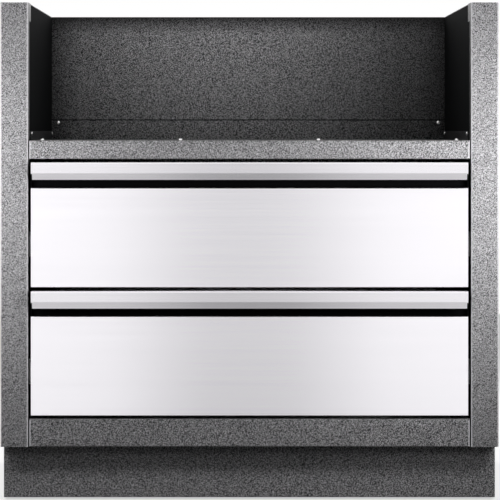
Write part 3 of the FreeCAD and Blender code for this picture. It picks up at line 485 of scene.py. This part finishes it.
# %% [markdown]
# The drawer fronts and pulls are stainless steel, brushed from side to side. Brushing cuts very fine
# grooves, so the noise is stretched along the grooves and squeezed across them. The grooves also smear
# every reflection across themselves, which the shader's anisotropy does without a single extra face. The
# pulls' colour is a little darker than the fronts': painted shade for the darker reflection they show.

# %% Brushed stainless
HAIRS = (6.0, 1500.0, 1500.0)
BANDS = (1.5, 160.0, 160.0)
# Painted shade: the pulls' colour is darker than the fronts'.
PULL_SHADE = 0.86


def make_brushed_stainless(name, shade=1.0):
    material, tree, shader, point = new_finish(name)
    lines = weighed(tree, grain(tree, point, HAIRS), grain(tree, point, BANDS))
    steel = tones(tree, lines, dark=(0.912, 0.893, 0.930), light=(0.982, 0.963, 1.0))
    lay_on(
        tree, shader, shaded(tree, steel, shade), lines, roughness=(0.27, 0.22), bump=(0.06, 0.0001),
        metallic=1.0, anisotropic=1.0, anisotropic_rotation=0.25)
    return material


# %% [markdown]
# The drawer boxes, the floor and the foot brackets are galvanised sheet. Its zinc sets in flat crystals,
# each of which mirrors the room a little differently. Voronoi cells are such crystals: every cell has a
# random colour of its own, and one channel of it sets the tone and the gloss of that crystal. The bottoms
# of the boxes get painted shade, a darker copy of the sheet, so that an open drawer looks as hollow as it is.

# %% Galvanised steel
CRYSTALS = 85.0
# Painted shade in the drawer boxes' bottoms.
BOTTOM_SHADE = 0.45


def make_galvanised_steel(name, shade=1.0):
    material, tree, shader, point = new_finish(name)
    crystals = add(tree, "ShaderNodeTexVoronoi", {"Vector": point, "Scale": CRYSTALS})
    tone = add(tree, "ShaderNodeSeparateColor", {"Color": crystals.outputs["Color"]}).outputs["Red"]
    zinc = weighed(tree, tone, grain(tree, point, lumps=30.0, detail=4.0))
    colour = tones(tree, zinc, dark=(0.47, 0.48, 0.49), light=(0.63, 0.64, 0.65), start=0.15, end=0.85)
    lay_on(
        tree, shader, shaded(tree, colour, shade), zinc, roughness=(0.52, 0.34), bump=(0.1, 0.0002),
        metallic=1.0)
    return material


# %% [markdown]
# Runners, ball cages, rivets, nuts and feet are bright zinc plated. The plating is thin, so it is a soft
# mirror with a faint blue and yellow bloom in large patches and a fine drawn grain.

# %% Zinc plate
def make_zinc_plate():
    material, tree, shader, point = new_finish("zinc_plate_finish")
    bloom = grain(tree, point, lumps=26.0, detail=3.0)
    drawn = grain(tree, point, lumps=700.0)
    colour = tones(tree, bloom, dark=(0.58, 0.60, 0.64), light=(0.68, 0.67, 0.63))
    lay_on(tree, shader, colour, drawn, roughness=(0.40, 0.24), bump=(0.08, 0.0001), metallic=1.0)
    return material


# %% [markdown]
# The screws are plain stainless steel, tumbled bright. The hose port is a moulded rubber ring. Both are
# small, so one grain each is enough to keep them from looking like flat paint.

# %% Screw steel and rubber
def make_screw_steel():
    material, tree, shader, point = new_finish("screw_steel_finish")
    tumbled = grain(tree, point, lumps=1400.0, detail=3.0)
    colour = tones(tree, tumbled, dark=(0.62, 0.62, 0.61), light=(0.78, 0.78, 0.77))
    lay_on(tree, shader, colour, tumbled, roughness=(0.34, 0.20), bump=(0.1, 0.0001), metallic=1.0)
    return material


def make_rubber():
    material, tree, shader, point = new_finish("rubber_finish")
    skin = grain(tree, point, lumps=1100.0, detail=4.0)
    colour = tones(tree, skin, dark=(0.014, 0.014, 0.014), light=(0.030, 0.030, 0.030))
    lay_on(tree, shader, colour, skin, roughness=(0.92, 0.74), bump=(0.3, 0.0002), specular_ior_level=0.3)
    return material


# %% [markdown]
# Each imported piece says in its material slots which finish it has. Replacing the material in the slot, and
# leaving the mesh alone, gives the whole cabinet its finishes in one loop. A few pieces wear a finish of
# their own, most of them copies with painted shade. The grain of the grey shows more on the shaded pieces
# than on the posts, so they have a stronger contrast between its two tones. The rear panel and the deck
# also get a paler tone of the grey: painted light for the bay.

# %% Dress the imported pieces
POST_CONTRAST = 0.88
RAIL_CONTRAST = 1.08
LOW_CONTRAST = 1.45
REAR_CONTRAST = 2.3
# A lower middle tone paints the rear panel and the deck paler: painted light.
REAR_PAINTED_LIGHT_TONE = 0.385

finishes = {
    "hammered_grey": make_hammered_grey("hammered_grey_finish", contrast=POST_CONTRAST),
    "black_coat": make_black_coat(),
    "brushed_stainless": make_brushed_stainless("brushed_stainless_finish"),
    "galvanised_steel": make_galvanised_steel("galvanised_steel_finish"),
    "zinc_plate": make_zinc_plate(),
    "screw_steel": make_screw_steel(),
    "rubber": make_rubber(),
}
# A darker copy of the steel: painted shade on the pulls.
shaded_pull_steel = make_brushed_stainless("shaded_pull_stainless_finish", PULL_SHADE)
low_grey = make_hammered_grey("low_grey_finish", contrast=LOW_CONTRAST)
# A darker copy of the zinc: painted shade in the box bottoms.
shaded_zinc = make_galvanised_steel("shaded_zinc_finish", BOTTOM_SHADE)
# The deck and the rear panel wear greys with painted shade.
own_finishes = {
    "grill_deck": make_hammered_grey("deck_grey_painted_shade_finish", darker_tray, REAR_CONTRAST, middle=REAR_PAINTED_LIGHT_TONE),
    "rear_panel": make_hammered_grey("rear_grey_painted_shade_finish", darker_panel, REAR_CONTRAST, middle=REAR_PAINTED_LIGHT_TONE),
    "top_rail": make_hammered_grey("rail_grey_finish", contrast=RAIL_CONTRAST),
    "bottom_rail": low_grey,
    "kick_panel": low_grey,
    "upper_drawer_pull": shaded_pull_steel,
    "lower_drawer_pull": shaded_pull_steel,
    "upper_box_bottom": shaded_zinc,
    "lower_box_bottom": shaded_zinc,
}
dressed = 0
for name, node in frame["nodes"].items():
    for place in node.material_slots:
        place.material = own_finishes.get(name, finishes[place.material.name])
        dressed += 1
print("slots dressed:", dressed)

# %% [markdown]
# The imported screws, rivets and feet are plain shapes without threads or driver holes. Geometry Nodes grow
# their visible twins: a tree holds the rule for one fastener and runs on a handful of points, so all of
# them stay alike and one number changes the lot. Modelling a screw by hand and copying it would lose that.
# These helpers name the steps of the trees.

# %% Helpers for geometry trees
def new_rule(name, inputs):
    """A geometry tree with named inputs of the given kinds."""
    tree = bpy.data.node_groups.new(name, "GeometryNodeTree")
    for way in ("INPUT", "OUTPUT"):
        tree.interface.new_socket("Geometry", in_out=way, socket_type="NodeSocketGeometry")
    for label, kind in inputs.items():
        tree.interface.new_socket(label, in_out="INPUT", socket_type=f"NodeSocket{kind}")
    return tree, tree.nodes.new("NodeGroupInput").outputs


def vector(tree, **parts):
    return add(tree, "ShaderNodeCombineXYZ", parts).outputs["Vector"]


def whereabouts(tree):
    """Each vertex's x, y and z, and how far it is from the z axis."""
    x, y, z = parts_of(tree, add(tree, "GeometryNodeInputPosition").outputs["Position"])
    return x, y, z, length_of(tree, vector(tree, X=x, Y=y))


def lifted(tree, solid, height):
    inputs = {"Geometry": solid, "Translation": vector(tree, Z=height)}
    return add(tree, "GeometryNodeTransform", inputs).outputs["Geometry"]


def cylinder(tree, radius, bottom, length, around, along=1, rings=1):
    """An upright cylinder, with its lower end at the bottom height."""
    sizes = {"Radius": radius, "Depth": length}
    counts = {"Vertices": around, "Side Segments": along, "Fill Segments": rings}
    solid = add(tree, "GeometryNodeMeshCylinder", {**sizes, **counts}, fill_type="TRIANGLE_FAN")
    return lifted(tree, solid.outputs["Mesh"], calculate(tree, "MULTIPLY_ADD", length, 0.5, bottom))


def draw_in(tree, solid, factor):
    """Multiplies each vertex's distance from the z axis by the factor."""
    place = add(tree, "GeometryNodeInputPosition").outputs["Position"]
    factors = vector(tree, X=factor, Y=factor, Z=1.0)
    moved = add(tree, "ShaderNodeVectorMath", {0: place, 1: factors}, operation="MULTIPLY").outputs["Vector"]
    return add(tree, "GeometryNodeSetPosition", {"Geometry": solid, "Position": moved}).outputs["Geometry"]


def combine(tree, operation, first, second):
    """The first solid less the second, or what both share."""
    node = add(tree, "GeometryNodeMeshBoolean", operation=operation)
    tree.links.new(first, node.inputs["Mesh 1" if operation == "DIFFERENCE" else "Mesh 2"])
    tree.links.new(second, node.inputs["Mesh 2"])
    return node.outputs["Mesh"]


# %% [markdown]
# A thread could be a small profile swept along a spiral, but its ends stay open and it has to be joined to
# its rod. Here the rod is a cylinder with many rings, and each vertex is drawn in by a rule: a groove that
# falls and rises once a pitch, and moves on by one pitch in each turn. The rod stays one closed skin.

# %% The threaded rod
STEPS_PER_TURN = 6.0


def threaded_rod(tree, radius, bottom, length, thread, around, tip):
    """A rod with a thread of this pitch and depth, drawn in towards its tip."""
    pitch, depth = thread
    turns = calculate(tree, "DIVIDE", length, pitch)
    rod = cylinder(tree, radius, bottom, length, around, calculate(tree, "MULTIPLY", turns, STEPS_PER_TURN))
    x, y, z, _ = whereabouts(tree)
    angle = calculate(tree, "DIVIDE", calculate(tree, "ARCTAN2", y, x), math.tau)
    phase = calculate(tree, "SUBTRACT", calculate(tree, "DIVIDE", z, pitch), angle)
    groove = calculate(tree, "MULTIPLY", calculate(tree, "PINGPONG", phase, 0.5), 2.0)
    share = calculate(tree, "DIVIDE", depth, radius)
    factor = calculate(tree, "SUBTRACT", 1.0, calculate(tree, "MULTIPLY", groove, share))
    tip_end, tip_start, tip_share = tip
    taper = between(tree, z, tip_share, 1.0, tip_end, tip_start)
    return draw_in(tree, rod, calculate(tree, "MULTIPLY", factor, taper))


# %% [markdown]
# The last step is the same for every fastener. Its parts are joined, with the steep edges kept crisp, and
# copied to each seat. A copy turns to the head direction that its seat carries, and spins by chance,
# because no two screws stop at the same angle. Realize Instances makes the copies plain faces, and Set
# Material finishes them.

# %% Copies on seats
STEEP_ANGLE = math.radians(30.0)


def put_on_seats(tree, given, parts):
    join = add(tree, "GeometryNodeJoinGeometry")
    for part in reversed(parts):
        tree.links.new(part, join.inputs["Geometry"])
    smooth = add(tree, "GeometryNodeSetShadeSmooth", {0: join.outputs["Geometry"]}).outputs[0]
    bend = add(tree, "GeometryNodeInputMeshEdgeAngle").outputs["Unsigned Angle"]
    sharp = calculate(tree, "GREATER_THAN", bend, STEEP_ANGLE)
    steep = {0: smooth, "Selection": sharp, "Shade Smooth": False}
    crisp = add(tree, "GeometryNodeSetShadeSmooth", steep, domain="EDGE").outputs[0]
    named = add(tree, "GeometryNodeInputNamedAttribute", {"Name": "head_direction"}, data_type="FLOAT_VECTOR")
    head = {"Vector": named.outputs["Attribute"]}
    turn = add(tree, "FunctionNodeAlignRotationToVector", head, axis="Z").outputs["Rotation"]
    limits = {2: 0.0, 3: math.tau, "Seed": given["Seed"]}
    chance = add(tree, "FunctionNodeRandomValue", limits, data_type="FLOAT").outputs[1]
    about = {"Axis": (0.0, 0.0, 1.0), "Angle": chance}
    spin = add(tree, "FunctionNodeAxisAngleToRotation", about).outputs["Rotation"]
    both = {"Rotation": turn, "Rotate By": spin}
    rotation = add(tree, "FunctionNodeRotateRotation", both, rotation_space="LOCAL").outputs["Rotation"]
    seats = {"Points": given["Geometry"], "Instance": crisp, "Rotation": rotation}
    copies = add(tree, "GeometryNodeInstanceOnPoints", seats).outputs["Instances"]
    real = add(tree, "GeometryNodeRealizeInstances", {"Geometry": copies}).outputs["Geometry"]
    finish = {"Geometry": real, "Material": given["Finish"]}
    finished = add(tree, "GeometryNodeSetMaterial", finish).outputs["Geometry"]
    add(tree, "NodeGroupOutput", {"Geometry": finished})


# %% [markdown]
# A screw is a domed head with a hole for the driver and a threaded shank. The dome is a rule too: a flat
# disc of rings is lifted by a power of the distance from its middle, which gives a full, round-shouldered
# head. A rivet is the same thing with a round hole and no thread, so it needs no tree of its own.

# %% The fastener rule
HEAD_SIDES = 42
HEAD_RINGS = 10
DOME_POWER = 4.0
SHANK_SIDES = 20
TIP_LENGTH = 0.0012
TIP_SHARE = 0.62

fastener, given = new_rule("fastener", {
    "Head Radius": "Float", "Head Height": "Float", "Rim Height": "Float", "Hole Sides": "Int",
    "Hole Radius": "Float", "Hole Depth": "Float", "Shank Radius": "Float", "Shank Length": "Float",
    "Pitch": "Float", "Thread Depth": "Float", "Seed": "Int", "Finish": "Material",
})
disc = cylinder(fastener, given["Head Radius"], 0.0, given["Rim Height"], HEAD_SIDES, rings=HEAD_RINGS)
_, _, height, reach = whereabouts(fastener)
fall = calculate(fastener, "POWER", calculate(fastener, "DIVIDE", reach, given["Head Radius"]), DOME_POWER)
dome = calculate(fastener, "SUBTRACT", given["Head Height"], given["Rim Height"])
rise = calculate(fastener, "MULTIPLY", dome, calculate(fastener, "SUBTRACT", 1.0, fall))
half_rim = calculate(fastener, "MULTIPLY", given["Rim Height"], 0.5)
on_top = calculate(fastener, "GREATER_THAN", height, half_rim)
lift = {"Geometry": disc, "Selection": on_top, "Offset": vector(fastener, Z=rise)}
head = add(fastener, "GeometryNodeSetPosition", lift).outputs["Geometry"]
hole_bottom = calculate(fastener, "SUBTRACT", given["Head Height"], given["Hole Depth"])
hole_length = calculate(fastener, "MULTIPLY", given["Hole Depth"], 2.0)
hole = cylinder(fastener, given["Hole Radius"], hole_bottom, hole_length, given["Hole Sides"])
shank_length = given["Shank Length"]
shank_end = calculate(fastener, "MULTIPLY", shank_length, -1.0)
tip = (shank_end, calculate(fastener, "ADD", shank_end, TIP_LENGTH), TIP_SHARE)
thread = (given["Pitch"], given["Thread Depth"])
shank = threaded_rod(fastener, given["Shank Radius"], shank_end, shank_length, thread, SHANK_SIDES, tip)
put_on_seats(fastener, given, [combine(fastener, "DIFFERENCE", head, hole), shank])
print("fastener tree:", len(fastener.nodes), "nodes")

# %% [markdown]
# A levelling foot is a pad that tapers to a neck, a hexagon for the spanner and a threaded stud. The
# hexagon's corners are taken off the way a lathe does it: only what also lies inside a ball remains.

# %% The foot rule
PAD_SIDES = 64
PAD_STEPS = 24
HEXAGON_SIDES = 6
CORNER_KEPT = 0.80
BALL_SIDES = 96
BALL_RINGS = 48
STUD_SIDES = 32
STUD_TIP = 0.0015
STUD_TIP_SHARE = 0.8

foot, given = new_rule("levelling_foot", {
    "Pad Radius": "Float", "Pad Height": "Float", "Neck Radius": "Float", "Cone Top": "Float",
    "Hexagon Radius": "Float", "Hexagon Top": "Float", "Stud Radius": "Float", "Stud Top": "Float",
    "Pitch": "Float", "Thread Depth": "Float", "Seed": "Int", "Finish": "Material",
})
unit_pad = cylinder(foot, 1.0, 0.0, given["Cone Top"], PAD_SIDES, PAD_STEPS)
_, _, height, _ = whereabouts(foot)
radii = (given["Pad Radius"], given["Neck Radius"])
pad = draw_in(foot, unit_pad, between(foot, height, *radii, given["Pad Height"], given["Cone Top"]))
hexagon_height = calculate(foot, "SUBTRACT", given["Hexagon Top"], given["Cone Top"])
hexagon = cylinder(foot, given["Hexagon Radius"], given["Cone Top"], hexagon_height, HEXAGON_SIDES)
kept_height = calculate(foot, "MULTIPLY", hexagon_height, CORNER_KEPT / 2.0)
ball_radius = length_of(foot, vector(foot, X=given["Hexagon Radius"], Z=kept_height))
ball_sizes = {"Segments": BALL_SIDES, "Rings": BALL_RINGS, "Radius": ball_radius}
ball = add(foot, "GeometryNodeMeshUVSphere", ball_sizes).outputs["Mesh"]
hexagon_middle = calculate(foot, "MULTIPLY_ADD", hexagon_height, 0.5, given["Cone Top"])
spanner_hexagon = combine(foot, "INTERSECT", hexagon, lifted(foot, ball, hexagon_middle))
stud_length = calculate(foot, "SUBTRACT", given["Stud Top"], given["Hexagon Top"])
stud_tip = (given["Stud Top"], calculate(foot, "SUBTRACT", given["Stud Top"], STUD_TIP), STUD_TIP_SHARE)
thread = (given["Pitch"], given["Thread Depth"])
stud = threaded_rod(
    foot, given["Stud Radius"], given["Hexagon Top"], stud_length, thread, STUD_SIDES, stud_tip)
put_on_seats(foot, given, [pad, spanner_hexagon, stud])
print("foot tree:", len(foot.nodes), "nodes")

# %% [markdown]
# Now the points. Every separate solid in a packed group has its own box, and the box says where that
# fastener sits. The places could be typed in, but then a change of the cabinet would leave the screws
# behind. A box alone cannot tell a head from a tip, so each seat also gets the direction of its head.

# %% Find the seats
WELD = 1e-6


def separate_boxes(node):
    """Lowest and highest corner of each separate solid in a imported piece, in a fixed order."""
    shape = bmesh.new()
    shape.from_mesh(node.data)
    bmesh.ops.remove_doubles(shape, verts=shape.verts, dist=WELD)
    seen = set()
    boxes = []
    for first in shape.verts:
        if first in seen:
            continue
        seen.add(first)
        island = [first]
        for vert in island:
            joined = [edge.other_vert(vert) for edge in vert.link_edges]
            fresh = [other for other in joined if other not in seen]
            seen.update(fresh)
            island.extend(fresh)
        columns = list(zip(*(vert.co for vert in island)))
        lowest = Vector([min(column) for column in columns])
        highest = Vector([max(column) for column in columns])
        boxes.append((lowest, highest))
    shape.free()
    return sorted(boxes, key=lambda box: tuple(box[0]))


def seats_of(name, direction, head_height):
    """Seats and head directions in a group, mirrored on the left, and the length of a shank."""
    seats = []
    for low, high in separate_boxes(frame["nodes"][name]):
        middle = (low + high) / 2.0
        head = Vector((math.copysign(1.0, middle.x) * direction[0], direction[1], direction[2]))
        length = abs((high - low).dot(head))
        seats.append((middle + head * (length / 2.0 - head_height), head))
    return seats, length - head_height


# %% [markdown]
# A tree needs a mesh to run on, so the seats become its vertices and the head direction an attribute of
# theirs. The tree runs once, its result is kept as a plain mesh and the modifier goes away, so the piece
# stays fixed from then on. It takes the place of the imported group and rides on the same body.

# %% Grow a group
def grow(name, slot, seats, tree, sizes, finish=None):
    mesh = bpy.data.meshes.new(f"{name}_seats")
    mesh.from_pydata([seat for seat, _ in seats], [], [])
    heads = mesh.attributes.new("head_direction", "FLOAT_VECTOR", "POINT")
    for place, (_, head) in zip(heads.data, seats):
        place.vector = head
    carrier = bpy.data.objects.new(f"{name}_seats", mesh)
    scene.collection.objects.link(carrier)
    modifier = carrier.modifiers.new("rule", "NODES")
    modifier.node_group = tree
    values = {**sizes, "Seed": len(seats), "Finish": finish or finishes[slot]}
    for item in tree.interface.items_tree:
        if item.in_out == "INPUT" and item.name in values:
            modifier[item.identifier] = values[item.name]
    depsgraph = bpy.context.evaluated_depsgraph_get()
    shape = bpy.data.meshes.new_from_object(carrier.evaluated_get(depsgraph))
    carrier.modifiers.remove(modifier)
    bpy.data.objects.remove(carrier)
    piece = bpy.data.objects.new(f"{name}_shown", shape)
    scene.collection.objects.link(piece)
    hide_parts(name)
    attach(piece, frame["nodes"][name]["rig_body"])
    print(name, "on", len(seats), "seats:", len(shape.polygons), "faces")


# %% [markdown]
# With the trees and the seats ready, each group of screws is one line: which way its heads point and which
# finish it takes. The post screws are painted over with the posts, and the others are bright steel. The
# deck screws have taller heads, which show above the top rail from the front.

# %% Screws
SCREW = {
    "Head Radius": 0.0040, "Head Height": 0.0022, "Rim Height": 0.0008,
    "Hole Sides": 4, "Hole Radius": 0.0021, "Hole Depth": 0.0016,
    "Shank Radius": 0.0020, "Pitch": 0.0008, "Thread Depth": 0.0004,
}
TALL_HEAD = {"Head Height": 0.0034, "Rim Height": 0.0016}
TO_FRONT, TO_BACK, TO_TOP = (0.0, -1.0, 0.0), (0.0, 1.0, 0.0), (0.0, 0.0, 1.0)
TO_MIDDLE, TO_OUTSIDE = (-1.0, 0.0, 0.0), (1.0, 0.0, 0.0)

screw_groups = {
    "post_screws": (TO_FRONT, "hammered_grey"),
    "deck_screws": (TO_TOP, "screw_steel"),
    "upstand_screws": (TO_FRONT, "screw_steel"),
    "deck_side_screws": (TO_MIDDLE, "screw_steel"),
    "rear_panel_screws": (TO_BACK, "screw_steel"),
    "upper_front_screws": (TO_BACK, "screw_steel"),
    "lower_front_screws": (TO_BACK, "screw_steel"),
}
own_heads = {"deck_screws": TALL_HEAD}
# The post screws' grey has painted shade in its driver holes.
own_paint = {"post_screws": make_hammered_grey("painted_screw_hole_shade_finish", darker_hole, folded=False)}
for name, (direction, slot) in screw_groups.items():
    seats, shank_length = seats_of(name, direction, SCREW["Head Height"])
    sizes = {**SCREW, **own_heads.get(name, {}), "Shank Length": shank_length}
    grow(name, slot, seats, fastener, sizes, own_paint.get(name))

# %% [markdown]
# The rivets of the runners have a round hole where the pulling pin broke off. The feet take their outer
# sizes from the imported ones, and each rides on its own body, because every foot can be screwed down alone.

# %% Rivets and feet
RIVET = {
    "Head Radius": 0.0045, "Head Height": 0.0016, "Rim Height": 0.0004,
    "Hole Sides": 24, "Hole Radius": 0.0013, "Hole Depth": 0.0012,
    "Shank Radius": 0.0024, "Pitch": 0.0012, "Thread Depth": 0.0,
}
SPANNER_SIZE = 0.017
FOOT = {
    "Pad Height": 0.005, "Neck Radius": 0.0085, "Cone Top": 0.012,
    "Hexagon Radius": SPANNER_SIZE / math.sqrt(3.0), "Hexagon Top": 0.022,
    "Stud Radius": 0.005, "Pitch": 0.0015, "Thread Depth": 0.0008,
}

seats, shank_length = seats_of("runner_rivets", TO_OUTSIDE, RIVET["Head Height"])
grow("runner_rivets", "zinc_plate", seats, fastener, {**RIVET, "Shank Length": shank_length})
for name in ("front_left_foot", "front_right_foot", "rear_left_foot", "rear_right_foot"):
    low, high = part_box(name)
    seat = Vector(((low.x + high.x) / 2.0, (low.y + high.y) / 2.0, low.z))
    sizes = {**FOOT, "Pad Radius": (high.x - low.x) / 2.0, "Stud Top": high.z - low.z}
    grow(name, "zinc_plate", [(seat, Vector(TO_TOP))], foot, sizes)
